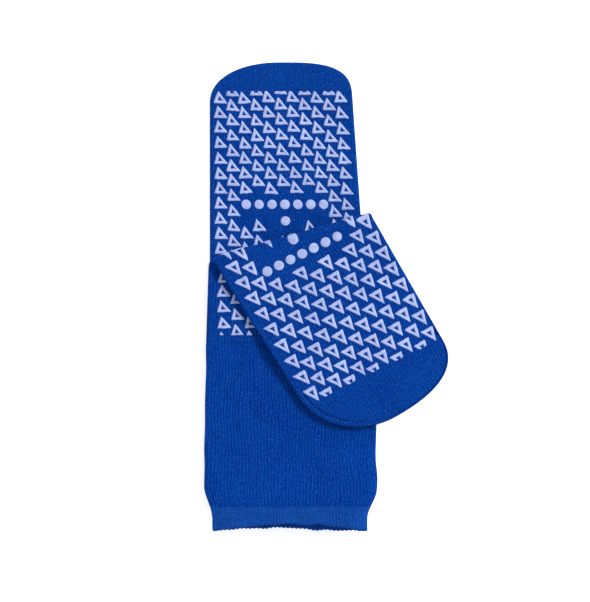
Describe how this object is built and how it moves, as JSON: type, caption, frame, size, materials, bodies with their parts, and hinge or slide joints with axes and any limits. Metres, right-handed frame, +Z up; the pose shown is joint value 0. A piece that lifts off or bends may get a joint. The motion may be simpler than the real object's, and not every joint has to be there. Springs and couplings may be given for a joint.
{
  "type": "pair of slipper socks",
  "caption": "Pair of non-slip slipper socks with raised tread on both faces, laid one on the other, the upper one's forefoot folded over.",
  "frame": {"origin": "middle of the pair's outline, on the surface it lies on", "axes": "+X across the socks, +Y from the cuffs towards the lower sock's toe, +Z up"},
  "size_m": [0.1585, 0.3056, 0.0207],
  "materials": {
    "leg_knit": "fine plain knit, matt",
    "foot_knit": "thicker plain knit, matt",
    "toe_knit": "fine plain knit, matt",
    "cuff_knit": "turned double welt, matt",
    "elastic_thread": "covered elastic thread",
    "seam_yarn": "linked row of yarn",
    "grip_print": "raised soft print, satin"
  },
  "bodies": {
    "lower_sock": {"lower_leg": "leg_knit", "lower_foot": "foot_knit", "lower_toe": "toe_knit", "lower_toe_seam": "seam_yarn", "lower_cuff": "cuff_knit", "lower_cuff_elastic": "elastic_thread", "lower_sole_tread": "grip_print", "lower_instep_tread": "grip_print", "lower_sole_dots": "grip_print", "lower_instep_dots": "grip_print"},
    "upper_sock": {"upper_leg": "leg_knit", "upper_heel": "foot_knit", "upper_cuff": "cuff_knit", "upper_cuff_elastic": "elastic_thread", "upper_heel_sole_tread": "grip_print", "upper_heel_instep_tread": "grip_print", "fold_loop": "foot_knit"},
    "upper_forefoot": {"forefoot": "foot_knit", "forefoot_toe": "toe_knit", "forefoot_toe_seam": "seam_yarn", "forefoot_sole_tread": "grip_print", "forefoot_instep_tread": "grip_print", "forefoot_sole_dots": "grip_print", "forefoot_instep_dots": "grip_print"}
  },
  "joints": [
    {"name": "lift_off", "type": "slide", "parent": "lower_sock", "child": "upper_sock", "axis": [0, 0, 1], "range_m": [0, 0.12]},
    {"name": "unfold", "type": "hinge", "parent": "upper_sock", "child": "upper_forefoot", "pos_m": [-0.0244, 0.035, 0.01005], "axis": [-0.9608, -0.2773, 0], "range_deg": [0, 180], "deforming": ["fold_loop"]}
  ]
}
